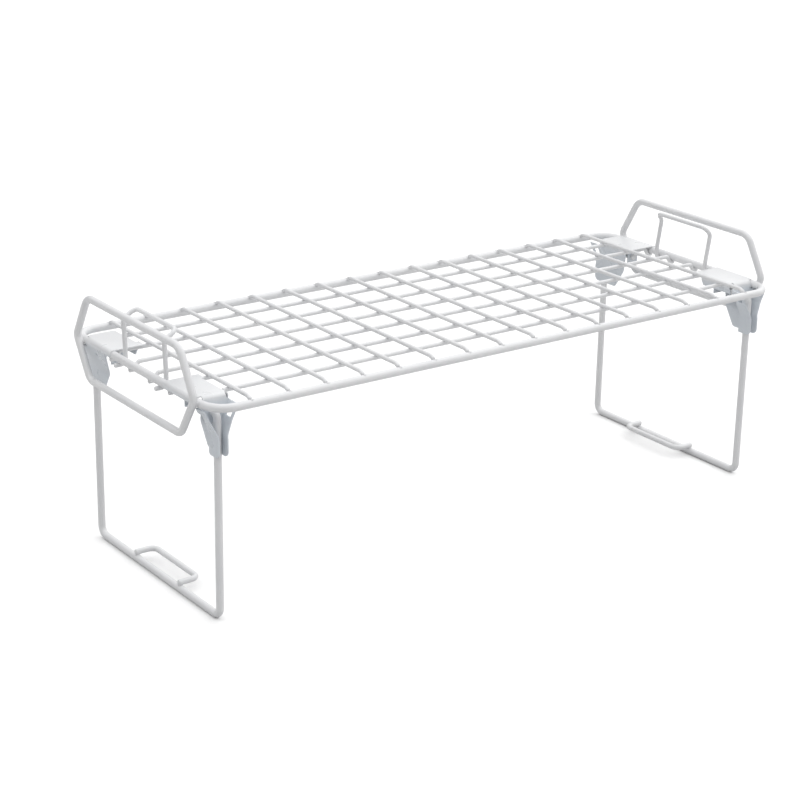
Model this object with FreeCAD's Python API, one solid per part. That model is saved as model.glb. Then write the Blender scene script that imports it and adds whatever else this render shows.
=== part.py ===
import FreeCAD, Part
import math
import os

# Folding, stacking wire shelf, epoxy-coated steel.  Millimetres.
# Frame: X along the length, Y from front to back, Z up; the feet rest on Z = 0 and the origin is
# under the middle of the deck.

V = FreeCAD.Vector
shortest_edge = 1e-6

# ---- driving dimensions --------------------------------------------------------------------------
deck_length = 592.0          # rim wire, axis to axis, along X
deck_depth = 231.0           # rim wire, axis to axis, along Y
deck_height = 191.0          # top of the deck above the surface that the feet stand on

frame_wire = 6.3             # rim, end loops and leg frames
grid_wire = 3.6              # deck wires
stop_wire = 3.9              # end stops
foot_loop_wire = 5.0         # loops on the foot wires
weld_set_down = 0.05         # how far a resistance weld sinks one wire into the other

rim_corner_radius = 20.0

cross_wires = 16
deck_end_gap = 33.5          # outermost cross wires to the axis of the end rail
cross_wire_overhang = 0.3    # past the axis of the rim
long_wires = 6
deck_edge_gap = 35.0         # outermost long wires to the axis of the rim
joggle_length = 4.5          # where a long wire dips to pass under the end rail
joggle_bend = 2.5
long_wire_tail = 1.5         # past the axis of the end rail

loop_rise = 42.0             # end loop, axis to the rim axis, upwards
loop_drop = 29.5             # and downwards
loop_shoulder_rise = 5.0     # widest points above the rim axis
loop_top_inset = 40.0        # corners of the end loop, in from the axis of the rim
loop_shoulder_inset = 18.7
loop_bottom_inset = 40.3
loop_top_bend = 14.0
loop_shoulder_bend = 8.0
loop_bottom_bend = 11.0

stop_width = 67.0
stop_rise = 40.5             # axis of the top bar above the rim axis
stop_straight = 8.0          # uprights hug the rail up to here above its axis
stop_splay_left = 1.0        # then lean out by this much on the left
stop_splay_right = 4.0       # and on the right
stop_lean_left = 11.5        # from there the top bends in over the deck on the left
stop_lean_right = 6.0        # and on the right
stop_lean_height = 7.0       # height of that last bend
stop_tail = 5.5              # past the axis of the end rail
stop_lean_bend = 6.0
stop_corner_bend = 6.0

leg_inset = 12.0             # leg frame, axis to the axis of the end rail
leg_from_rim = 15.7          # leg axis in from the axis of the front or back rim
pin_drop = 8.5               # hinge pins below the rim axis
pin_length = 42.0            # from the leg axis to the end of the pin
leg_top_bend = 6.0
leg_foot_bend = 8.0

foot_loop_width = 73.0
foot_loop_reach = 17.0       # from the foot wire to the bar of the loop
foot_loop_bend = 7.0
foot_loop_tail = 2.0         # past the axis of the foot wire

sheet = 1.0                  # hinge bracket stock
plate_reach = 55.8           # bracket plate, from the leg axis inwards along the rail
wall_reach = 46.3            # walls, the same way, clear of the long wire beside them
jaw_front = 9.2              # jaws, from the leg axis outwards
waist_front = 6.2
bracket_depth = 43.0         # bottom of the jaws below the rim axis
wall_slope = 26.0            # degrees from upright, where the walls close on the leg
jaw_bend = 10.0
waist_height = 14.0          # narrowest part of the walls, below the rim axis
waist_bend = 6.0
jaw_shoulder_height = 28.0   # where the jaws reach their full width
wide_jaw_width = 30.0        # along Y, at the bottom
narrow_jaw_width = 15.0
jaw_outer_round = 5.0
jaw_inner_round = 3.0
narrow_neck_depth = 8.0      # narrow wall, bottom of the neck that joins it to the web
neck_back = 0.8              # edge of that neck, inside the leg axis
neck_bend = 1.5
web_bend = 2.5               # plate to web, inside radius
web_depth = 18.0             # bottom of the web below the rim axis
lug_reach = 39.8             # inner bearing lug, inside the leg axis
lug_half_width = 6.0
lug_below_pin = 5.5
relief_hole = 2.4
relief_hole_reach = 27.8     # inside the leg axis
relief_hole_depth = 7.0
flange_depth = 6.5           # folded edge of the plate on the deck's side

# ---- clearances ----------------------------------------------------------------------------------
pin_running_clearance = 0.05     # radial
jaw_clearance = 0.3              # each side of the leg
slot_clearance = 0.4             # each side of the leg, where it swings out of the jaws
slot_head_clearance = 0.6        # over the folded leg
web_rail_clearance = 0.5         # web beside and below the end rail
rail_clearance = 0.05            # bracket over the end rail
wire_end_clearance = 0.15        # wire that stops short of a bracket
web_clearance = 0.5              # web behind the bend of the leg
loop_clearance = 1.5             # bracket wrap beside the end loop

# ---- derived sizes -------------------------------------------------------------------------------
frame_r = frame_wire / 2
grid_r = grid_wire / 2
stop_r = stop_wire / 2
foot_loop_r = foot_loop_wire / 2

rail_x = deck_length / 2
rail_y = deck_depth / 2
rim_z = deck_height - 2 * grid_r - frame_r + weld_set_down
cross_z = rim_z + frame_r + grid_r - weld_set_down
long_z = cross_z - 2 * grid_r + weld_set_down
under_rail_z = rim_z - frame_r - grid_r + weld_set_down

leg_x = rail_x - leg_inset
leg_y = rail_y - leg_from_rim
foot_z = frame_r
cross_wire_pitch = (deck_length - 2 * deck_end_gap) / (cross_wires - 1)
long_wire_pitch = (deck_depth - 2 * deck_edge_gap) / (long_wires - 1)
loop_top_y = rail_y - loop_top_inset
loop_shoulder_y = rail_y - loop_shoulder_inset
loop_bottom_y = rail_y - loop_bottom_inset
plate_inner_edge = leg_y - plate_reach
wall_inner_edge = leg_y - wall_reach
wall_front_edge = leg_y + jaw_front
wall_waist_edge = leg_y + waist_front
neck_edge = leg_y - neck_back
lug_inner_face = leg_y - lug_reach
relief_hole_edge = leg_y - relief_hole_reach
pin_z = rim_z - pin_drop

wrap_r = frame_r + rail_clearance + sheet / 2        # middle of the sheet, round the rail
wrap_outer = wrap_r + sheet / 2
jaw_u = frame_r + jaw_clearance + sheet / 2          # middle of the sheet, from the leg axis
web_front_y = leg_y - leg_top_bend - web_clearance
web_back_y = web_front_y - sheet
plate_front = web_back_y - web_bend
web_top = wrap_r - sheet / 2 - web_bend
plate_edge_x = leg_x - leg_inset - wrap_outer        # edge of the plate on the deck's side
loop_side_y = loop_shoulder_y - frame_r      # inner side of the loop at its shoulder
wrap_front_edge = loop_side_y - frame_wire - loop_clearance


# ---- wires ---------------------------------------------------------------------------------------
def corner_arc(before, corner, after, bend):
    """Tangent arc at a corner, with the points where it leaves the two straight runs."""
    back = (before - corner).normalize()
    ahead = (after - corner).normalize()
    half_turn = (math.pi - back.getAngle(ahead)) / 2
    setback = bend * math.tan(half_turn)
    end = corner + back * setback
    start = corner + ahead * setback
    to_centre = (back + ahead).normalize()
    middle = corner + to_centre * (bend / math.cos(half_turn) - bend)
    return Part.Arc(end, middle, start).toShape(), end, start


def rounded_runs(points, bends, closed):
    """Straight runs through the points, joined by tangent arcs; a bend of zero is a sharp corner."""
    count = len(points)
    starts = list(points)
    ends = list(points)
    arcs = {}
    for i in range(count):
        if bends[i]:
            after = points[(i + 1) % count]
            arcs[i], ends[i], starts[i] = corner_arc(points[i - 1], points[i], after, bends[i])
    edges = []
    for i in range(count if closed else count - 1):
        j = (i + 1) % count
        if (ends[j] - starts[i]).Length > shortest_edge:
            edges.append(Part.LineSegment(starts[i], ends[j]).toShape())
        if j in arcs:
            edges.append(arcs[j])
    return Part.Wire(edges)


def round_bar(path, diameter):
    """Round wire of the given diameter along a path."""
    first = path.Edges[0]
    start = first.valueAt(first.FirstParameter)
    direction = first.tangentAt(first.FirstParameter)
    section = Part.Face(Part.Wire(Part.makeCircle(diameter / 2, start, direction)))
    return path.makePipe(section)


def straight_wire(start, end, diameter):
    return Part.makeCylinder(diameter / 2, (end - start).Length, start, end - start)


def bent_wire(points, bends, diameter):
    return round_bar(rounded_runs(points, bends, False), diameter)


def closed_wire(points, bends, diameter):
    """Endless welded wire: two halves that meet in the middle of two straight runs."""
    count = len(points)
    half = count // 2
    seam_a = (points[-1] + points[0]) * 0.5
    seam_b = (points[half - 1] + points[half]) * 0.5
    one = bent_wire([seam_a] + points[:half] + [seam_b], [0] + bends[:half] + [0], diameter)
    two = bent_wire([seam_b] + points[half:] + [seam_a], [0] + bends[half:] + [0], diameter)
    return one.fuse(two)


# ---- deck ----------------------------------------------------------------------------------------
def rim():
    corners = [V(rail_x, rail_y, rim_z), V(-rail_x, rail_y, rim_z)]
    corners += [V(-rail_x, -rail_y, rim_z), V(rail_x, -rail_y, rim_z)]
    return closed_wire(corners, [rim_corner_radius] * 4, frame_wire)


def cross_wire(index):
    x = (index - (cross_wires - 1) / 2) * cross_wire_pitch
    reach = rail_y + cross_wire_overhang
    return straight_wire(V(x, -reach, cross_z), V(x, reach, cross_z), grid_wire)


def long_wire_y(index):
    return ((long_wires - 1) / 2 - index) * long_wire_pitch


def long_wire(index):
    """Inner wires dip under the end rails; those that meet a bracket wall stop at it."""
    y = long_wire_y(index)
    if abs(y) + grid_r > wall_inner_edge:
        reach = plate_edge_x - wire_end_clearance
        return straight_wire(V(-reach, y, long_z), V(reach, y, long_z), grid_wire)
    dip_end = leg_x - leg_inset - frame_r
    dip_start = dip_end - joggle_length
    reach = rail_x + long_wire_tail
    right = [V(dip_start, y, long_z), V(dip_end, y, under_rail_z), V(reach, y, under_rail_z)]
    left = [V(-p.x, p.y, p.z) for p in reversed(right)]
    bends = [0, joggle_bend, joggle_bend, joggle_bend, joggle_bend, 0]
    return bent_wire(left + right, bends, grid_wire)


def end_loop(side):
    """Six-sided loop on the outside of the end rail: a handle above, a foot below."""
    x = side * (rail_x + 2 * frame_r - weld_set_down)
    top = rim_z + loop_rise
    shoulder = rim_z + loop_shoulder_rise
    bottom = rim_z - loop_drop
    half = [V(x, -loop_top_y, top), V(x, -loop_shoulder_y, shoulder)]
    half.append(V(x, -loop_bottom_y, bottom))
    other = [V(p.x, -p.y, p.z) for p in reversed(half)]
    bends = [loop_top_bend, loop_shoulder_bend, loop_bottom_bend]
    return closed_wire(half + other, bends + bends[::-1], frame_wire)


def end_stop(side):
    """Thin arch on the end rail: feet out under the rail, uprights leaning out, top bent in."""
    hug = frame_r + stop_r - weld_set_down
    upright_x = side * (rail_x - hug)
    tail_x = side * (rail_x + stop_tail)
    splay_x = upright_x + side * (stop_splay_left if side < 0 else stop_splay_right)
    top_x = splay_x - side * (stop_lean_left if side < 0 else stop_lean_right)
    foot = rim_z - hug
    top = rim_z + stop_rise
    y = stop_width / 2
    front = [V(tail_x, -y, foot), V(upright_x, -y, foot), V(upright_x, -y, rim_z + stop_straight)]
    front += [V(splay_x, -y, top - stop_lean_height), V(top_x, -y, top)]
    back = [V(p.x, -p.y, p.z) for p in reversed(front)]
    bends = [0, hug, stop_lean_bend, stop_lean_bend, stop_corner_bend]
    return bent_wire(front + back, bends + bends[::-1], stop_wire)


# ---- legs ----------------------------------------------------------------------------------------
def leg_frame(side):
    """Two legs and the foot wire between them; the tops turn in to make the hinge pins."""
    x = side * leg_x
    front = [V(x, pin_length - leg_y, pin_z), V(x, -leg_y, pin_z), V(x, -leg_y, foot_z)]
    back = [V(p.x, -p.y, p.z) for p in reversed(front)]
    bends = [0, leg_top_bend, leg_foot_bend]
    return bent_wire(front + back, bends + bends[::-1], frame_wire)


def foot_loop(side):
    """Small loop lying on the foot wire, towards the middle of the shelf."""
    z = foot_z + frame_r + foot_loop_r - weld_set_down
    start_x = side * (leg_x + foot_loop_tail)
    bar_x = side * (leg_x - foot_loop_reach)
    y = foot_loop_width / 2
    points = [V(start_x, -y, z), V(bar_x, -y, z), V(bar_x, y, z), V(start_x, y, z)]
    return bent_wire(points, [0, foot_loop_bend, foot_loop_bend, 0], foot_loop_wire)


# ---- hinge brackets ------------------------------------------------------------------------------
# A bracket is drawn at the front left corner of its own frame: u runs from the leg towards the end
# rail, y is the distance from the centre line and z is measured from the rim axis.  place_bracket
# turns it to its corner.
def wall_line(offset):
    """Middle of the wall sheet, moved outwards by offset, from the jaw up and over the rail."""
    slope = math.radians(wall_slope)
    wrap = wrap_r + offset
    bend = jaw_bend - offset
    jaw = jaw_u + offset
    touch = V(leg_inset + wrap * math.cos(slope), 0, -wrap * math.sin(slope))
    bend_end_u = jaw + bend * (1 - math.cos(slope))
    bend_end_z = touch.z - (touch.x - bend_end_u) / math.tan(slope)
    bend_end = V(bend_end_u, 0, bend_end_z)
    bend_start = V(jaw, 0, bend_end_z - bend * math.sin(slope))
    bend_middle = V(jaw + bend * (1 - math.cos(slope / 2)), 0, bend_start.z + bend * math.sin(slope / 2))
    wrap_angle = (math.pi / 2 - slope) / 2
    wrap_middle = V(leg_inset + wrap * math.cos(wrap_angle), 0, wrap * math.sin(wrap_angle))
    wrap_top = V(leg_inset, 0, wrap)
    edges = [Part.LineSegment(V(jaw, 0, -bracket_depth), bend_start).toShape()]
    edges.append(Part.Arc(bend_start, bend_middle, bend_end).toShape())
    edges.append(Part.LineSegment(bend_end, touch).toShape())
    edges.append(Part.Arc(touch, wrap_middle, wrap_top).toShape())
    return edges, wrap_top, V(jaw, 0, -bracket_depth)


def wall_sheet():
    """One wall and its wrap, full length, before its outline is cut."""
    outer, outer_top, outer_end = wall_line(sheet / 2)
    inner, inner_top, inner_end = wall_line(-sheet / 2)
    top = Part.LineSegment(outer_top, inner_top).toShape()
    end = Part.LineSegment(inner_end, outer_end).toShape()
    profile = Part.Face(Part.Wire(Part.__sortEdges__(outer + inner + [top, end])))
    profile.translate(V(0, plate_inner_edge, 0))
    return profile.extrude(V(0, wall_front_edge - plate_inner_edge, 0))


def wall_u(z):
    """Distance of the sloping part of the wall from the leg axis, at height z."""
    slope = math.radians(wall_slope)
    touch_u = leg_inset + wrap_r * math.cos(slope)
    touch_z = -wrap_r * math.sin(slope)
    return touch_u - (touch_z - z) * math.tan(slope)


def jaw_outline(width):
    """Lower edge of a wall, front to back: waist, rounded jaw and its inner edge."""
    bottom = -bracket_depth
    inner = wall_front_edge - width
    points = [(wall_waist_edge, -waist_height, waist_bend)]
    points.append((wall_front_edge, -jaw_shoulder_height, waist_bend))
    points.append((wall_front_edge, bottom, jaw_outer_round))
    points.append((inner, bottom, jaw_inner_round))
    return points


def wall_outline(wide, on_rail):
    """Outline of a wall in y and z with the bend at each corner, starting at its inner top."""
    over = wrap_outer + sheet
    shoulder_z = -(frame_r + rail_clearance) if on_rail else -wrap_r / 2
    wrap_front = wrap_front_edge if on_rail else plate_front
    wrap_back = plate_inner_edge if on_rail else wall_inner_edge
    wrap_low = -sheet
    points = []
    if wide:
        points += [(wrap_back, over, 0), (wrap_front, over, 0), (wrap_front, shoulder_z, 0)]
        points += [(wall_waist_edge, shoulder_z, 0)] + jaw_outline(wide_jaw_width)
        points += [(wall_inner_edge, wrap_low - sheet, 0)]
        if on_rail:
            points += [(wall_inner_edge, wrap_low, 0), (wrap_back, wrap_low, 0)]
        return points
    inner = wall_front_edge - narrow_jaw_width
    neck_z = -narrow_neck_depth
    points += [(web_back_y, shoulder_z, 0), (wall_waist_edge, shoulder_z, 0)]
    points += jaw_outline(narrow_jaw_width)
    points += [(inner, -jaw_shoulder_height, waist_bend)]
    points += [(neck_edge, neck_z, neck_bend), (web_back_y, neck_z, 0)]
    return points


def outline_prism(outline, reach):
    """Solid with a y, z outline, from u = 0 to reach."""
    points = [V(0, y, z) for y, z, bend in outline]
    path = rounded_runs(points, [bend for y, z, bend in outline], True)
    return Part.Face(path).extrude(V(reach, 0, 0))


def edge_outline(on_rail):
    """Outline of the plate's folded edge beside a narrow wall: half round the rail, or a flange."""
    over = wrap_outer + sheet
    if on_rail:
        back, front, low = plate_inner_edge, wrap_front_edge, -sheet
    else:
        back, front, low = wall_inner_edge, plate_front, -flange_depth
    return [(back, over, 0), (front, over, 0), (front, low, 0), (back, low, 0)]


def wall(wide, on_rail):
    """One wall of a bracket on the positive u side, with its jaw."""
    reach = leg_inset + wrap_outer + sheet
    outline = outline_prism(wall_outline(wide, on_rail), reach)
    if not wide:
        outline = outline.fuse(outline_prism(edge_outline(on_rail), reach))
    body = wall_sheet().common(outline)
    if wide:
        centre = V(0, relief_hole_edge, -relief_hole_depth)
        hole = Part.makeCylinder(relief_hole / 2, leg_inset * 2, centre, V(1, 0, 0))
        body = body.cut(hole)
    if not on_rail:
        body = body.cut(swing_slot(wide))
    return body


def swing_slot(wide):
    """Open-ended slot in the wall on the deck's side, on the path of the folding leg."""
    half = frame_r + slot_clearance
    start_y = leg_y - half if wide else web_front_y
    head = -pin_drop + frame_r + slot_head_clearance
    corner = V(0, start_y, -bracket_depth - sheet)
    return Part.makeBox(leg_inset * 2, leg_y + half - start_y, head + bracket_depth + sheet, corner)


def web_edge(wide, on_rail):
    """Edge of the web on one side, from its bottom to the plate, as u and z."""
    rail_u = leg_inset - frame_r - web_rail_clearance
    rail_low = -frame_r - web_rail_clearance
    neck_z = -narrow_neck_depth
    if wide:
        points = [(wall_u(-web_depth), -web_depth)]
    else:
        points = [(jaw_u + sheet, -web_depth), (rail_u, neck_z), (wall_u(neck_z), neck_z)]
    if on_rail:
        return points + [(wall_u(rail_low), rail_low), (rail_u, rail_low), (rail_u, web_top)]
    return points + [(wall_u(-wrap_r / 2), -wrap_r / 2), (leg_inset, web_top)]


def web(wide_on_rail):
    """Upright web across the jaws that carries the hinge pin, with its bend up to the plate."""
    rail_edge = web_edge(wide_on_rail, True)
    deck_edge = [(-u, z) for u, z in web_edge(not wide_on_rail, False)]
    points = [V(u, web_back_y, z) for u, z in rail_edge + deck_edge[::-1]]
    flat = Part.Face(Part.makePolygon(points + points[:1])).extrude(V(0, sheet, 0))
    centre = V(0, plate_front, web_top)
    length = rail_edge[-1][0] + leg_inset
    centre -= V(leg_inset, 0, 0)
    outer = Part.makeCylinder(web_bend + sheet, length, centre, V(1, 0, 0))
    inner = Part.makeCylinder(web_bend, length, centre, V(1, 0, 0))
    quarter = Part.makeBox(length, web_bend + sheet, web_bend + sheet, centre)
    return flat.fuse(outer.cut(inner).common(quarter))


def plate():
    """Flat top of the bracket, over the end rail and down to the web's bend."""
    low = wrap_r - sheet / 2
    length = plate_front - plate_inner_edge
    top = Part.makeBox(2 * leg_inset, length, sheet, V(-leg_inset, plate_inner_edge, low))
    corner = V(-leg_inset - wrap_outer, plate_inner_edge, low)
    return top.fuse(Part.makeBox(wrap_outer, wall_inner_edge - plate_inner_edge, sheet, corner))


def bearing_lug():
    """Second bearing for the pin, folded down from the plate."""
    low = -pin_drop - lug_below_pin
    top = wrap_r
    return Part.makeBox(2 * lug_half_width, sheet, top - low, V(-lug_half_width, lug_inner_face, low))


def hinge_bracket(wide_on_rail):
    """Bracket at the back right corner, with u along X, before it is placed."""
    deck_wall = wall(not wide_on_rail, False).mirror(V(0, 0, 0), V(1, 0, 0))
    body = plate().multiFuse([wall(wide_on_rail, True), deck_wall, web(wide_on_rail), bearing_lug()])
    hole_r = frame_r + pin_running_clearance
    pin_hole = Part.makeCylinder(hole_r, wall_front_edge, V(0, 0, -pin_drop), V(0, 1, 0))
    return body.cut(pin_hole).removeSplitter()


def place_bracket(side, end):
    """side is -1 at the left and 1 at the right; end is -1 at the front and 1 at the back."""
    body = hinge_bracket(side != end)
    body.translate(V(leg_x, 0, rim_z))
    if side < 0:
        body = body.mirror(V(0, 0, 0), V(1, 0, 0))
    if end < 0:
        body = body.mirror(V(0, 0, 0), V(0, 1, 0))
    return body


# ---- all nodes -----------------------------------------------------------------------------------
def all_nodes():
    nodes = {"rim_wire": rim()}
    for index in range(cross_wires):
        nodes["cross_wire_%02d" % (index + 1)] = cross_wire(index)
    for index in range(long_wires):
        nodes["long_wire_%d" % (index + 1)] = long_wire(index)
    for side, side_name in ((-1, "left"), (1, "right")):
        nodes["end_loop_" + side_name] = end_loop(side)
        nodes["end_stop_" + side_name] = end_stop(side)
        nodes["leg_frame_" + side_name] = leg_frame(side)
        nodes["foot_loop_" + side_name] = foot_loop(side)
        for end, end_name in ((-1, "front"), (1, "back")):
            nodes["hinge_bracket_%s_%s" % (end_name, side_name)] = place_bracket(side, end)
    return nodes


os.makedirs("parts", exist_ok=True)
for name, shape in all_nodes().items():
    solid = shape.Solids[0] if len(shape.Solids) == 1 else shape
    solid.exportStep("parts/%s.step" % name)
    box = solid.BoundBox
    print("%-28s solids %d  volume %9.1f  x %.1f..%.1f  y %.1f..%.1f  z %.1f..%.1f  valid %s" % (
        name, len(shape.Solids), solid.Volume, box.XMin, box.XMax, box.YMin, box.YMax,
        box.ZMin, box.ZMax, solid.isValid()))
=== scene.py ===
import math
import random

import bmesh
import bpy
from mathutils import Matrix, Vector


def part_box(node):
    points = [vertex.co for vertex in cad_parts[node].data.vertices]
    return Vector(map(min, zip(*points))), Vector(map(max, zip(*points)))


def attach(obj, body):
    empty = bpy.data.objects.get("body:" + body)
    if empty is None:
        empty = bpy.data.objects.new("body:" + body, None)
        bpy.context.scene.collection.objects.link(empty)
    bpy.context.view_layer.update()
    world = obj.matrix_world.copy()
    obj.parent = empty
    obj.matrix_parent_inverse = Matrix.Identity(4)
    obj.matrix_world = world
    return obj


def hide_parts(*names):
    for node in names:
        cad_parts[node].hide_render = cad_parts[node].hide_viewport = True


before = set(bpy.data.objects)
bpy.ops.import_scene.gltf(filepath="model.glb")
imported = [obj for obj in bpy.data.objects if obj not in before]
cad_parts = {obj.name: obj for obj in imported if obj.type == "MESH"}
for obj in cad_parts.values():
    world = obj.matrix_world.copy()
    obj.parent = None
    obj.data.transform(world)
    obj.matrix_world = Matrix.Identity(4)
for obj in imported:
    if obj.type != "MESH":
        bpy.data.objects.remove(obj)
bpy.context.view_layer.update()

MM = 0.001
ENDS = (("left", -1), ("right", 1))
UP = Vector((0, 0, 1))


# ---- materials -----------------------------------------------------------------------------------
def coat_material(name, pale, deep, roughness, peel):
    """Epoxy coat on steel: slow colour variation, uneven gloss, orange peel and soft runs."""
    material = bpy.data.materials.new(name)
    material.use_nodes = True
    nodes = material.node_tree.nodes
    links = material.node_tree.links
    shader = nodes["Principled BSDF"]
    shader.inputs["Metallic"].default_value = 0.0
    shader.inputs["IOR"].default_value = 1.5
    shader.inputs["Coat Weight"].default_value = 0.2
    shader.inputs["Coat Roughness"].default_value = 0.18
    place = nodes.new("ShaderNodeTexCoord")

    def noise(scale, detail):
        node = nodes.new("ShaderNodeTexNoise")
        node.inputs["Scale"].default_value = scale
        node.inputs["Detail"].default_value = detail
        links.new(place.outputs["Object"], node.inputs["Vector"])
        return node.outputs["Fac"]

    tint = nodes.new("ShaderNodeMix")
    tint.data_type = "RGBA"
    tint.inputs["A"].default_value = (*pale, 1)
    tint.inputs["B"].default_value = (*deep, 1)
    spread = nodes.new("ShaderNodeMapRange")
    spread.inputs["From Min"].default_value = 0.3
    spread.inputs["From Max"].default_value = 0.7
    slow_tint = noise(16, 3)
    links.new(slow_tint, spread.inputs["Value"])
    links.new(spread.outputs["Result"], tint.inputs["Factor"])
    links.new(tint.outputs["Result"], shader.inputs["Base Color"])

    gloss = nodes.new("ShaderNodeMapRange")
    gloss.inputs["From Min"].default_value = 0.25
    gloss.inputs["From Max"].default_value = 0.75
    gloss.inputs["To Min"].default_value = roughness - 0.06
    gloss.inputs["To Max"].default_value = roughness + 0.08
    uneven_gloss = noise(55, 4)
    links.new(uneven_gloss, gloss.inputs["Value"])
    links.new(gloss.outputs["Result"], shader.inputs["Roughness"])

    fine = nodes.new("ShaderNodeBump")
    fine.inputs["Strength"].default_value = peel
    fine.inputs["Distance"].default_value = 0.00012
    orange_peel = noise(850, 2)
    links.new(orange_peel, fine.inputs["Height"])
    runs = nodes.new("ShaderNodeBump")
    runs.inputs["Strength"].default_value = 0.35
    runs.inputs["Distance"].default_value = 0.0006
    soft_runs = noise(95, 1)
    links.new(soft_runs, runs.inputs["Height"])
    links.new(fine.outputs["Normal"], runs.inputs["Normal"])
    links.new(runs.outputs["Normal"], shader.inputs["Normal"])
    return material


def shade_by_height(material, painted_shade_colour, low, high):
    """Painted shade: a cooler, darker coat low down, which the lights alone don't give."""
    nodes = material.node_tree.nodes
    links = material.node_tree.links
    shader = nodes["Principled BSDF"]
    upper = shader.inputs["Base Color"].links[0].from_socket
    place = nodes.new("ShaderNodeTexCoord")
    split = nodes.new("ShaderNodeSeparateXYZ")
    links.new(place.outputs["Object"], split.inputs["Vector"])
    height = nodes.new("ShaderNodeMapRange")
    height.inputs["From Min"].default_value = low
    height.inputs["From Max"].default_value = high
    links.new(split.outputs["Z"], height.inputs["Value"])
    painted_shade_blend = nodes.new("ShaderNodeMix")
    painted_shade_blend.data_type = "RGBA"
    painted_shade_blend.inputs["A"].default_value = (*painted_shade_colour, 1)
    links.new(height.outputs["Result"], painted_shade_blend.inputs["Factor"])
    links.new(upper, painted_shade_blend.inputs["B"])
    links.new(painted_shade_blend.outputs["Result"], shader.inputs["Base Color"])


wire_coat = coat_material("white epoxy coat on wire", (0.80, 0.803, 0.81), (0.745, 0.75, 0.765), 0.36,
                          0.22)
sheet_coat_and_painted_shade = coat_material("white epoxy coat on sheet with painted shade low down", (0.80, 0.805, 0.815), (0.75, 0.76, 0.775), 0.3, 0.3)
# Painted shade: the brackets and spring lips get a cooler, darker coat below 181 mm, blending to the plate's
# white by 186.8 mm.
painted_shade_full_below = 0.181
painted_shade_gone_above = 0.1868
shade_by_height(sheet_coat_and_painted_shade, (0.66, 0.70, 0.745), painted_shade_full_below, painted_shade_gone_above)


# ---- wires ---------------------------------------------------------------------------------------
def rounded(points, bends, closed=False, step=9 * MM, turn=math.radians(7)):
    """Points along straight runs and tangent arcs, close enough together for a smooth tube."""
    count = len(points)
    path = []
    for i, corner in enumerate(points):
        if bends[i] and (closed or 0 < i < count - 1):
            back = (points[i - 1] - corner).normalized()
            ahead = (points[(i + 1) % count] - corner).normalized()
            half = (math.pi - back.angle(ahead)) / 2
            centre = corner + (back + ahead).normalized() * (bends[i] / math.cos(half))
            first = corner + back * bends[i] * math.tan(half) - centre
            last = corner + ahead * bends[i] * math.tan(half) - centre
            axis = first.cross(last).normalized()
            pieces = max(2, math.ceil(2 * half / turn))
            for k in range(pieces + 1):
                path.append(centre + Matrix.Rotation(2 * half * k / pieces, 3, axis) @ first)
        else:
            path.append(corner.copy())
    dense = []
    for i in range(len(path) if closed else len(path) - 1):
        a, b = path[i], path[(i + 1) % len(path)]
        pieces = max(1, round((b - a).length / step))
        dense += [a.lerp(b, k / pieces) for k in range(pieces)]
    if not closed:
        dense.append(path[-1])
    return dense


def tube_mesh(name, path, radius, closed=False, sides=18, seed=0, sway=0.0, end_round=0.45):
    """Round coated wire along a path, with a little sway and rounded, coated ends."""
    chance = random.Random(seed)
    waves = [(chance.uniform(0.06, 0.16), chance.uniform(0, 6.3)) for _ in range(4)]
    count = len(path)
    rings = []
    normal = None
    along = 0.0
    for i, point in enumerate(path):
        before = path[i - 1] if (closed or i) else point
        after = path[(i + 1) % count] if (closed or i < count - 1) else point
        tangent = (after - before).normalized()
        if normal is None:
            normal = tangent.orthogonal().normalized()
        normal = (normal - tangent * normal.dot(tangent)).normalized()
        side = tangent.cross(normal)
        along += (point - before).length
        fade = min(1.0, i / 4, (count - 1 - i) / 4) if not closed else 1.0
        shift = Vector((0, 0, 0))
        if sway and not closed:
            shift = normal * math.sin(along / waves[0][0] + waves[0][1]) * sway * fade
            shift += side * math.sin(along / waves[1][0] + waves[1][1]) * sway * fade
        rings.append((point + shift, normal.copy(), side.copy(), tangent, radius))
    if not closed:
        tip = radius * end_round
        for end in (0, -1):
            point, normal, side, tangent, _ = rings[end]
            outward = -tangent if end == 0 else tangent
            cap = []
            for k in range(1, 5):
                angle = math.pi / 2 * k / 5
                cap.append((point + outward * (math.sin(angle) - 1) * tip, normal, side, tangent,
                            radius - tip * (1 - math.cos(angle))))
            shoulder = (point - outward * tip, normal, side, tangent, radius)
            if end == 0:
                rings = cap[::-1] + [shoulder] + rings[1:]
            else:
                rings = rings[:-1] + [shoulder] + cap
    bm = bmesh.new()
    loops = []
    for centre, normal, side, tangent, r in rings:
        loops.append([bm.verts.new(centre + (normal * math.cos(a) + side * math.sin(a)) * r)
                      for a in (2 * math.pi * k / sides for k in range(sides))])
    spans = list(zip(loops, loops[1:]))
    if closed:
        first, last = loops[0], loops[-1]
        offset = min(range(sides), key=lambda k: (last[0].co - first[k].co).length)
        spans.append((last, first[offset:] + first[:offset]))
    for low, high in spans:
        for k in range(sides):
            n = (k + 1) % sides
            bm.faces.new((low[k], low[n], high[n], high[k]))
    if not closed:
        bm.faces.new(loops[0][::-1])
        bm.faces.new(loops[-1])
    bmesh.ops.recalc_face_normals(bm, faces=bm.faces)
    mesh = bpy.data.meshes.new(name)
    bm.to_mesh(mesh)
    bm.free()
    mesh.shade_smooth()
    return mesh


def piece(name, mesh, body, material, nodes):
    """Puts a finished mesh in the scene as a piece that rides on a body."""
    obj = bpy.data.objects.new(name.replace(" ", "_"), mesh)
    bpy.context.scene.collection.objects.link(obj)
    mesh.materials.clear()
    mesh.materials.append(material)
    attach(obj, body)
    if nodes:
        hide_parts(*nodes)
    return obj


def wire_piece(name, node, body, points, bends, radius, **shape):
    path = rounded(points, bends, shape.get("closed", False))
    return piece(name, tube_mesh(name, path, radius, **shape), body, wire_coat, [node])


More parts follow.
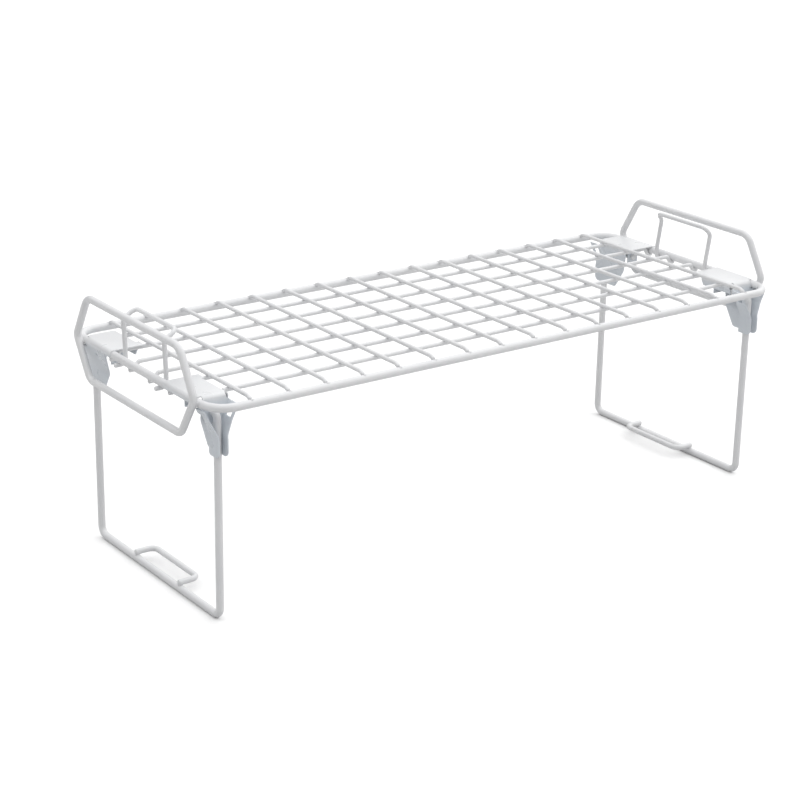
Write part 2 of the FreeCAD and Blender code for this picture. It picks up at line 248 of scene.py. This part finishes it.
# ---- welds ---------------------------------------------------------------------------------------
def weld_profile(radius_a, axis_a, radius_b, axis_b, gap, sides=20, rows=4):
    """Coated weld between two crossing wires that touch at the origin; wire a lies on the +Z side."""
    def surfaces(distance, direction):
        reach_a = min(distance * abs(direction.cross(axis_a).z), radius_a * 0.98)
        reach_b = min(distance * abs(direction.cross(axis_b).z), radius_b * 0.98)
        return (radius_a - math.sqrt(radius_a ** 2 - reach_a ** 2),
                math.sqrt(radius_b ** 2 - reach_b ** 2) - radius_b)

    rings = [[] for _ in range(rows + 1)]
    for s in range(sides):
        angle = 2 * math.pi * s / sides
        direction = Vector((math.cos(angle), math.sin(angle), 0))
        near, far = 0.0, 4 * max(radius_a, radius_b)
        for _ in range(30):
            middle = (near + far) / 2
            high, low = surfaces(middle, direction)
            near, far = (middle, far) if high - low < gap else (near, middle)
        distance = min(near, 1.5 * max(radius_a, radius_b))
        high, low = surfaces(distance, direction)
        for row in range(rows + 1):
            t = row / rows
            inward = gap * 0.32 * math.sin(math.pi * t)
            height = low + (high - low) * t
            sink = gap * 0.06
            height += sink if row == rows else -sink if row == 0 else 0
            rings[row].append(direction * (distance - inward) + UP * height)
    faces = []
    points = [point for ring in rings for point in ring]
    for row in range(rows):
        for s in range(sides):
            n = (s + 1) % sides
            faces.append((row * sides + s, row * sides + n, (row + 1) * sides + n, (row + 1) * sides + s))
    faces.append(tuple(range(sides))[::-1])
    faces.append(tuple(rows * sides + s for s in range(sides)))
    return points, faces


def weld_mesh(name, welds):
    """One mesh with a weld at each place.

    A place is (point, normal from b to a, axis a, radius a, axis b, radius b, gap at the rim of the weld).
    """
    bm = bmesh.new()
    for point, normal, axis_a, radius_a, axis_b, radius_b, gap in welds:
        normal = normal.normalized()
        east = axis_b.normalized()
        turn = Matrix((east, normal.cross(east), normal)).transposed()
        local = turn.inverted()
        points, faces = weld_profile(radius_a, local @ axis_a.normalized(), radius_b,
                                     local @ east, gap)
        made = [bm.verts.new(turn @ p + point) for p in points]
        for face in faces:
            bm.faces.new([made[i] for i in face])
    bmesh.ops.recalc_face_normals(bm, faces=bm.faces)
    mesh = bpy.data.meshes.new(name)
    bm.to_mesh(mesh)
    bm.free()
    mesh.shade_smooth()
    return mesh


# ---- rows of repeated shapes ---------------------------------------------------------------------
def row_tree():
    """Puts one shape at every point of a grid, each a little different, as one mesh."""
    tree = bpy.data.node_groups.new("shape at every point of a grid", "GeometryNodeTree")
    tree.is_modifier = True
    face = tree.interface
    face.new_socket("Geometry", in_out="OUTPUT", socket_type="NodeSocketGeometry")
    kinds = (("Shape", "Object"), ("Start", "Vector"), ("Step across", "Vector"), ("Step along", "Vector"),
             ("Count across", "Int"), ("Count along", "Int"), ("Shift", "Vector"), ("Turn", "Vector"),
             ("Smallest", "Vector"), ("Largest", "Vector"), ("Seed", "Int"), ("Material", "Material"))
    for name, kind in kinds:
        face.new_socket(name, in_out="INPUT", socket_type="NodeSocket" + kind)
    add = tree.nodes.new
    source = add("NodeGroupInput").outputs
    link = tree.links.new

    across = add("GeometryNodeMeshLine")
    link(source["Count across"], across.inputs["Count"])
    link(source["Start"], across.inputs["Start Location"])
    link(source["Step across"], across.inputs["Offset"])
    along = add("GeometryNodeMeshLine")
    link(source["Count along"], along.inputs["Count"])
    link(source["Step along"], along.inputs["Offset"])
    grid = add("GeometryNodeInstanceOnPoints")
    link(across.outputs["Mesh"], grid.inputs["Points"])
    link(along.outputs["Mesh"], grid.inputs["Instance"])
    points = add("GeometryNodeRealizeInstances")
    link(grid.outputs["Instances"], points.inputs["Geometry"])

    def chance(low, high, offset):
        node = add("FunctionNodeRandomValue")
        node.data_type = "FLOAT_VECTOR"
        if low is not None:
            link(low, node.inputs["Min"])
        link(high, node.inputs["Max"])
        step = add("ShaderNodeMath")
        step.operation = "ADD"
        link(source["Seed"], step.inputs[0])
        step.inputs[1].default_value = offset
        link(step.outputs["Value"], node.inputs["Seed"])
        return node.outputs["Value"]

    def negative(value):
        node = add("ShaderNodeVectorMath")
        node.operation = "SCALE"
        node.inputs["Scale"].default_value = -1
        link(value, node.inputs[0])
        return node.outputs["Vector"]

    moved = add("GeometryNodeSetPosition")
    link(points.outputs["Geometry"], moved.inputs["Geometry"])
    link(chance(negative(source["Shift"]), source["Shift"], 1), moved.inputs["Offset"])
    info = add("GeometryNodeObjectInfo")
    link(source["Shape"], info.inputs["Object"])
    copies = add("GeometryNodeInstanceOnPoints")
    link(moved.outputs["Geometry"], copies.inputs["Points"])
    link(info.outputs["Geometry"], copies.inputs["Instance"])
    link(chance(negative(source["Turn"]), source["Turn"], 2), copies.inputs["Rotation"])
    link(chance(source["Smallest"], source["Largest"], 3), copies.inputs["Scale"])
    real = add("GeometryNodeRealizeInstances")
    link(copies.outputs["Instances"], real.inputs["Geometry"])
    paint = add("GeometryNodeSetMaterial")
    link(real.outputs["Geometry"], paint.inputs["Geometry"])
    link(source["Material"], paint.inputs["Material"])
    link(paint.outputs["Geometry"], add("NodeGroupOutput").inputs["Geometry"])
    return tree


def repeated(name, tree, shape_mesh, material, **values):
    """The finished mesh of one shape repeated by the tree."""
    shape = bpy.data.objects.new(name + " shape", shape_mesh)
    carrier = bpy.data.objects.new(name + " carrier", bpy.data.meshes.new(name + " carrier"))
    for obj in (shape, carrier):
        bpy.context.scene.collection.objects.link(obj)
    values = {"Shape": shape, "Material": material, "Seed": 5, "Shift": (0, 0, 0), "Turn": (0, 0, 0),
              "Smallest": (1, 1, 1), "Largest": (1, 1, 1), "Step along": (0, 0, 0), "Count along": 1,
              **values}
    modifier = carrier.modifiers.new("repeat", "NODES")
    modifier.node_group = tree
    for item in tree.interface.items_tree:
        if item.in_out == "INPUT":
            modifier[item.identifier] = values[item.name]
    graph = bpy.context.evaluated_depsgraph_get()
    mesh = bpy.data.meshes.new_from_object(carrier.evaluated_get(graph))
    mesh.name = name
    carrier.modifiers.remove(modifier)
    bpy.data.objects.remove(carrier)
    bpy.data.objects.remove(shape)
    mesh.shade_smooth()
    return mesh


# ---- sizes, from the frame -----------------------------------------------------------------------
def middle(node):
    low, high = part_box(node)
    return (low + high) / 2


rim_low, rim_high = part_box("rim_wire")
frame_r = (rim_high.z - rim_low.z) / 2
rim_z = (rim_high.z + rim_low.z) / 2
rail_x = rim_high.x - frame_r
rail_y = rim_high.y - frame_r
cross_low, cross_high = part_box("cross_wire_01")
grid_r = (cross_high.z - cross_low.z) / 2
cross_z = middle("cross_wire_01").z
first_cross_x = cross_low.x + grid_r
cross_pitch = middle("cross_wire_02").x - middle("cross_wire_01").x
long_z = middle("long_wire_1").z
long_pitch = middle("long_wire_1").y - middle("long_wire_2").y
leg_low, leg_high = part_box("leg_frame_right")
leg_x = (leg_low.x + leg_high.x) / 2
pin_z = leg_high.z - frame_r
foot_z = leg_low.z + frame_r

cross_nodes = ["cross_wire_%02d" % i for i in range(1, 17)]
long_nodes = ["long_wire_%d" % i for i in range(1, 7)]

# ---- sizes that no box gives ---------------------------------------------------------------------
set_down = 0.05 * MM             # how far a welded wire sinks into the other
rim_coat_build_up = 0.3 * MM     # the coat is thicker on the rim
rim_corner = 20 * MM
straight_box = 4 * MM            # a long wire whose box is lower than this has no joggle
joggle_length = 4.5 * MM
joggle_bend = 2.5 * MM
cross_end_inset = 1.7 * MM       # cross wires end here, and dip into the rim
cross_end_dip = 2.0 * MM
cross_end_bend = 5 * MM

loop_top_y = 75.5 * MM
loop_shoulder_y = 96.8 * MM
loop_bottom_y = 75.2 * MM
loop_shoulder_rise = 5 * MM
loop_drop = 29.5 * MM
loop_bends = [14 * MM, 8 * MM, 11 * MM]

stop_r = 1.95 * MM
stop_y = 33.5 * MM
stop_rise = 40.5 * MM
stop_straight = 8 * MM           # uprights hug the rail up to here
stop_splay = {"left": 1 * MM, "right": 4 * MM}
stop_lean = {"left": 11.5 * MM, "right": 6 * MM}
stop_lean_height = 7 * MM
stop_tail = 5.5 * MM
stop_bend = 6 * MM

leg_y = 99.8 * MM
pin_length = 42 * MM
leg_top_bend = 6 * MM
leg_foot_bend = 8 * MM
foot_loop_y = 36.5 * MM
foot_loop_reach = 17 * MM
foot_loop_tail = 2 * MM
foot_loop_bend = 7 * MM

wall_slope = math.radians(26)    # bracket walls, where they close on the leg
wall_wrap = frame_r + 0.55 * MM  # middle of the sheet round the rail
wall_jaw = frame_r + 0.8 * MM    # and beside the leg
wall_bend = 10 * MM
rail_from_leg = 12 * MM
lip_top = 12.6 * MM              # spring lips, below the rim axis
lip_bottom = 43.0 * MM
lip_outer_y = 104.2 * MM
lip_inner_y = {"wide": 95.2 * MM, "narrow": 94.0 * MM}
lip_half_sheet = 0.46 * MM
lip_rows = 28


def mirrored_path(front, bends):
    """A path from its front half, and its bends."""
    back = [Vector((p.x, -p.y, p.z)) for p in reversed(front)]
    return front + back, bends + bends[::-1]


# ---- deck ----------------------------------------------------------------------------------------
def rim():
    corners = [Vector((x, y, rim_z)) for x, y in ((rail_x, rail_y), (-rail_x, rail_y),
                                                  (-rail_x, -rail_y), (rail_x, -rail_y))]
    wire_piece("rim wire", "rim_wire", "deck", corners, [rim_corner] * 4, frame_r + rim_coat_build_up,
               closed=True, sides=24)


def long_wire(number, node):
    """Straight, or dipping under the end rails where its box is tall."""
    low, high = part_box(node)
    y = (low.y + high.y) / 2
    if high.z - low.z < straight_box:
        points = [Vector((low.x, y, long_z)), Vector((high.x, y, long_z))]
        bends = [0, 0]
    else:
        dip_end = rail_x - frame_r
        under_z = rim_z - frame_r - grid_r + set_down
        right = [Vector((dip_end - joggle_length, y, long_z)), Vector((dip_end, y, under_z)),
                 Vector((high.x, y, under_z))]
        points = [Vector((-p.x, p.y, p.z)) for p in reversed(right)] + right
        bends = [0] + [joggle_bend] * 4 + [0]
    wire_piece("long wire %d" % (number + 1), node, "deck", points, bends, grid_r, seed=20 + number,
               sway=0.12 * MM)


def cross_wires(rows):
    reach = (cross_high.y - cross_low.y) / 2 - cross_end_inset
    sunk = [Vector((0, reach - cross_end_bend, 0)), Vector((0, reach, -cross_end_dip))]
    sunk = [Vector((0, -p.y, p.z)) for p in reversed(sunk)] + sunk
    path = rounded(sunk, [0, cross_end_bend, cross_end_bend, 0], step=12 * MM)
    shape = tube_mesh("cross wire", path, grid_r, sides=14, seed=4, sway=0.06 * MM, end_round=0.95)
    mesh = repeated("cross wires", rows, shape, wire_coat,
                    **{"Start": (first_cross_x, 0, cross_z), "Step across": (cross_pitch, 0, 0),
                       "Count across": len(cross_nodes), "Shift": (0.15 * MM, 0.12 * MM, 0),
                       "Turn": (0, 0, 0.0008)})
    piece("cross wires", mesh, "deck", wire_coat, cross_nodes)


def deck_welds(rows):
    """Welds under the cross wires: at every long wire, then at the front and back of the rim."""
    along_x = Vector((1, 0, 0))
    along_y = Vector((0, 1, 0))
    touch_z = cross_z - grid_r + set_down / 2
    shape = weld_mesh("grid weld", [(Vector((0, 0, 0)), UP, along_y, grid_r, along_x, grid_r, 0.32 * MM)])
    mesh = repeated("grid welds", rows, shape, wire_coat,
                    **{"Start": (first_cross_x, middle("long_wire_6").y, touch_z),
                       "Step across": (cross_pitch, 0, 0), "Count across": len(cross_nodes),
                       "Step along": (0, long_pitch, 0), "Count along": len(long_nodes),
                       "Smallest": (0.9, 0.9, 1), "Largest": (1.18, 1.18, 1.05)})
    piece("coated welds of the grid", mesh, "deck", wire_coat, [])
    shape = weld_mesh("rim weld", [(Vector((0, 0, 0)), UP, along_y, grid_r, along_x, frame_r, 0.5 * MM)])
    mesh = repeated("rim welds", rows, shape, wire_coat,
                    **{"Start": (first_cross_x, -rail_y, touch_z),
                       "Step across": (cross_pitch, 0, 0), "Count across": len(cross_nodes),
                       "Step along": (0, 2 * rail_y, 0), "Count along": 2,
                       "Smallest": (0.92, 0.92, 1), "Largest": (1.15, 1.12, 1.04), "Seed": 11})
    piece("coated welds of the rim", mesh, "deck", wire_coat, [])


rim()
for number, node in enumerate(long_nodes):
    long_wire(number, node)
rows = row_tree()
cross_wires(rows)
deck_welds(rows)


# ---- end loops, end stops, legs --------------------------------------------------------------------
def end_loop(end):
    node = "end_loop_" + end
    low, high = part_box(node)
    x = (low.x + high.x) / 2
    half = [Vector((x, -loop_top_y, high.z - frame_r)),
            Vector((x, -loop_shoulder_y, rim_z + loop_shoulder_rise)),
            Vector((x, -loop_bottom_y, low.z + frame_r))]
    points, bends = mirrored_path(half, loop_bends)
    wire_piece("end loop " + end, node, "deck", points, bends, frame_r, closed=True, sides=22)


def end_stop(end, side):
    """Thin arch: feet out under the rail, uprights leaning out, top bent in."""
    hug = frame_r + stop_r - set_down
    upright = side * (rail_x - hug)
    tail = side * (rail_x + stop_tail)
    splay = upright + side * stop_splay[end]
    top_x = splay - side * stop_lean[end]
    top_z = rim_z + stop_rise
    half = [Vector((tail, -stop_y, rim_z - hug)), Vector((upright, -stop_y, rim_z - hug)),
            Vector((upright, -stop_y, rim_z + stop_straight)),
            Vector((splay, -stop_y, top_z - stop_lean_height)), Vector((top_x, -stop_y, top_z))]
    points, bends = mirrored_path(half, [0, hug, stop_bend, stop_bend, stop_bend])
    wire_piece("end stop " + end, "end_stop_" + end, "deck", points, bends, stop_r, sides=16, end_round=0.6)


def leg_frame(end, side):
    x = side * leg_x
    front = [Vector((x, pin_length - leg_y, pin_z)), Vector((x, -leg_y, pin_z)), Vector((x, -leg_y, foot_z))]
    points, bends = mirrored_path(front, [0, leg_top_bend, leg_foot_bend])
    wire_piece("leg frame " + end, "leg_frame_" + end, end + "_legs", points, bends, frame_r, sides=24,
               end_round=0.25)


def foot_loop(end, side):
    """Returns the radius of its wire, for the welds."""
    low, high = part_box("foot_loop_" + end)
    radius = (high.z - low.z) / 2
    z = (high.z + low.z) / 2
    tail = side * (leg_x + foot_loop_tail)
    bar = side * (leg_x - foot_loop_reach)
    front = [Vector((tail, -foot_loop_y, z)), Vector((bar, -foot_loop_y, z))]
    points, bends = mirrored_path(front, [0, foot_loop_bend])
    wire_piece("foot loop " + end, "foot_loop_" + end, end + "_legs", points, bends, radius, sides=18,
               end_round=0.5)
    return radius


def end_rail_welds(end, side):
    """Welds of the end loop, the end stop and the dipped long wires to the end rail."""
    rail = Vector((0, 1, 0))
    outward = Vector((side, 0, 0))
    across = Vector((1, 0, 0))
    loop_height = loop_shoulder_rise + loop_drop
    loop_taper = loop_shoulder_y - loop_bottom_y
    slant = Vector((0, loop_taper, loop_height)).normalized()
    touch_y = loop_shoulder_y - loop_shoulder_rise / loop_height * loop_taper
    touch_x = side * (rail_x + frame_r - set_down / 2)
    under = rim_z - frame_r
    welds = []
    for face in (-1, 1):
        loop_side = Vector((0, face * slant.y, slant.z))
        welds.append((Vector((touch_x, face * touch_y, rim_z)), outward, loop_side, frame_r,
                      rail, frame_r, 1.5 * MM))
        welds.append((Vector((side * (rail_x - frame_r), face * stop_y, rim_z)), -outward, UP, stop_r,
                      rail, frame_r, 0.9 * MM))
        welds.append((Vector((side * rail_x, face * stop_y, under)), -UP, across, stop_r,
                      rail, frame_r, 0.9 * MM))
    for node in long_nodes[1:5]:
        welds.append((Vector((side * rail_x, middle(node).y, under)), -UP, across, grid_r,
                      rail, frame_r, 0.9 * MM))
    piece("coated welds of the end rail " + end, weld_mesh("end rail welds " + end, welds), "deck",
          wire_coat, [])


def foot_loop_welds(end, side, radius):
    touch_z = foot_z + frame_r - set_down / 2
    welds = [(Vector((side * leg_x, face * foot_loop_y, touch_z)), UP, Vector((1, 0, 0)), radius,
              Vector((0, 1, 0)), frame_r, 1.1 * MM) for face in (-1, 1)]
    piece("coated welds of the foot loop " + end, weld_mesh("foot loop welds " + end, welds),
          end + "_legs", wire_coat, [])


for end, side in ENDS:
    end_loop(end)
    end_stop(end, side)
    leg_frame(end, side)
    foot_loop_r = foot_loop(end, side)
    end_rail_welds(end, side)
    foot_loop_welds(end, side, foot_loop_r)


# ---- hinge brackets --------------------------------------------------------------------------------
def wall_middle(depth):
    """Distance of the bracket's wall from the leg axis, at a depth below the rim axis."""
    touch_u = rail_from_leg + wall_wrap * math.cos(wall_slope)
    touch_depth = wall_wrap * math.sin(wall_slope)
    bend_top_u = wall_jaw + wall_bend * (1 - math.cos(wall_slope))
    bend_top = touch_depth + (touch_u - bend_top_u) / math.tan(wall_slope)
    bend_bottom = bend_top + wall_bend * math.sin(wall_slope)
    if depth <= bend_top:
        return touch_u - (depth - touch_depth) * math.tan(wall_slope)
    if depth >= bend_bottom:
        return wall_jaw
    return wall_jaw + wall_bend - math.sqrt(wall_bend ** 2 - (bend_bottom - depth) ** 2)


def lip_mesh(name, side, face, inner):
    """Fixed part of the deck-side wall that fills the open slot; the real one springs aside as the leg
    folds.
    """
    near = 0.1 * MM
    bm = bmesh.new()
    rings = []
    for k in range(lip_rows + 1):
        depth = lip_top + (lip_bottom - lip_top) * k / lip_rows
        slant = (wall_middle(depth + near) - wall_middle(depth - near)) / (2 * near)
        across = lip_half_sheet * math.sqrt(1 + slant * slant)
        u = wall_middle(depth)
        section = ((u - across, inner), (u + across, inner),
                   (u + across, lip_outer_y), (u - across, lip_outer_y))
        rings.append([bm.verts.new((side * (leg_x - from_leg), face * y, rim_z - depth))
                      for from_leg, y in section])
    for upper, lower in zip(rings, rings[1:]):
        for k in range(4):
            n = (k + 1) % 4
            bm.faces.new((upper[k], upper[n], lower[n], lower[k]))
    bm.faces.new(rings[0])
    bm.faces.new(rings[-1][::-1])
    bmesh.ops.recalc_face_normals(bm, faces=bm.faces)
    mesh = bpy.data.meshes.new(name)
    bm.to_mesh(mesh)
    bm.free()
    return mesh


def hinge_bracket(end, depth):
    """The bracket's own node, with rounded, coated edges."""
    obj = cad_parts["hinge_bracket_%s_%s" % (depth, end)]
    obj.data.materials.clear()
    # This coat carries painted shade: cooler and darker on the walls below the plate.
    obj.data.materials.append(sheet_coat_and_painted_shade)
    fuse = obj.modifiers.new("join", "WELD")
    fuse.merge_threshold = 0.002 * MM
    edges = obj.modifiers.new("rounded coated edges", "BEVEL")
    edges.width = 0.28 * MM
    edges.segments = 3
    edges.limit_method = "ANGLE"
    edges.angle_limit = math.radians(32)
    edges.use_clamp_overlap = True
    edges.harden_normals = False
    obj.data.shade_smooth()


def spring_lip(end, side, depth):
    """One bracket in two is turned, so the wide wall is on the deck's side at front left and back right."""
    wide = (side < 0) == (depth == "front")
    inner = lip_inner_y["wide" if wide else "narrow"]
    lip = lip_mesh("spring lip", side, -1 if depth == "front" else 1, inner)
    # The lips sit wholly in the painted shade of the sheet coat.
    piece("spring lip %s %s" % (depth, end), lip, "deck", sheet_coat_and_painted_shade, [])


for end, side in ENDS:
    for depth in ("front", "back"):
        hinge_bracket(end, depth)
        spring_lip(end, side, depth)

# ---- floor, light, camera --------------------------------------------------------------------------
floor_mesh = bpy.data.meshes.new("floor")
floor_half = 30.0
floor_mesh.from_pydata([(-floor_half, -floor_half, 0), (floor_half, -floor_half, 0),
                        (floor_half, floor_half, 0), (-floor_half, floor_half, 0)], [], [(0, 1, 2, 3)])
floor = bpy.data.objects.new("floor", floor_mesh)
bpy.context.scene.collection.objects.link(floor)
floor_paint = bpy.data.materials.new("white floor")
floor_paint.use_nodes = True
floor_shader = floor_paint.node_tree.nodes["Principled BSDF"]
floor_shader.inputs["Roughness"].default_value = 0.7
floor_shader.inputs["Specular IOR Level"].default_value = 0.2

# The floor is white to the camera but throws back less light than that onto the shelf's undersides.
floor_nodes = floor_paint.node_tree
ray = floor_nodes.nodes.new("ShaderNodeLightPath")
floor_tone = floor_nodes.nodes.new("ShaderNodeMix")
floor_tone.data_type = "RGBA"
floor_tone.inputs["A"].default_value = (0.62, 0.62, 0.62, 1)
floor_tone.inputs["B"].default_value = (1.0, 1.0, 1.0, 1)
floor_nodes.links.new(ray.outputs["Is Camera Ray"], floor_tone.inputs["Factor"])
floor_nodes.links.new(floor_tone.outputs["Result"], floor_shader.inputs["Base Color"])
floor_mesh.materials.append(floor_paint)

world = bpy.data.worlds.new("studio")
bpy.context.scene.world = world
world.use_nodes = True
sky = world.node_tree
background = sky.nodes["Background"]
where = sky.nodes.new("ShaderNodeTexCoord")
split = sky.nodes.new("ShaderNodeSeparateXYZ")
sky.links.new(where.outputs["Generated"], split.inputs["Vector"])


def sky_range(value, low, high, dark, bright):
    node = sky.nodes.new("ShaderNodeMapRange")
    node.interpolation_type = "SMOOTHSTEP"
    node.inputs["From Min"].default_value = low
    node.inputs["From Max"].default_value = high
    node.inputs["To Min"].default_value = dark
    node.inputs["To Max"].default_value = bright
    sky.links.new(value, node.inputs["Value"])
    return node.outputs["Result"]


# A broad soft box overhead and a weaker one on the right.
overhead = sky_range(split.outputs["Z"], 0.15, 0.8, 0.08, 1.36)
from_right = sky_range(split.outputs["X"], 0.2, 0.9, 0.0, 0.85)
total = sky.nodes.new("ShaderNodeMath")
total.operation = "ADD"
sky.links.new(overhead, total.inputs[0])
sky.links.new(from_right, total.inputs[1])
sky.links.new(total.outputs["Value"], background.inputs["Strength"])
background.inputs["Color"].default_value = (1.0, 1.0, 1.0, 1)

camera_data = bpy.data.cameras.new("camera")
camera_data.sensor_width = 36.0
camera_data.lens = 91.44
camera = bpy.data.objects.new("camera", camera_data)
bpy.context.scene.collection.objects.link(camera)
azimuth, elevation, roll = math.radians(35.95), math.radians(-19.90), math.radians(1.006)
forward = Vector((math.sin(azimuth) * math.cos(elevation), math.cos(azimuth) * math.cos(elevation),
                  math.sin(elevation)))
level = forward.cross(UP).normalized()
above = level.cross(forward)
right = level * math.cos(roll) + above * math.sin(roll)
above = right.cross(forward)
stand = Matrix((right, above, -forward)).transposed().to_4x4()
stand.translation = (-1.0290, -1.3658, 0.71865)
camera.matrix_world = stand
bpy.context.scene.camera = camera
bpy.context.scene.view_settings.view_transform = "Standard"
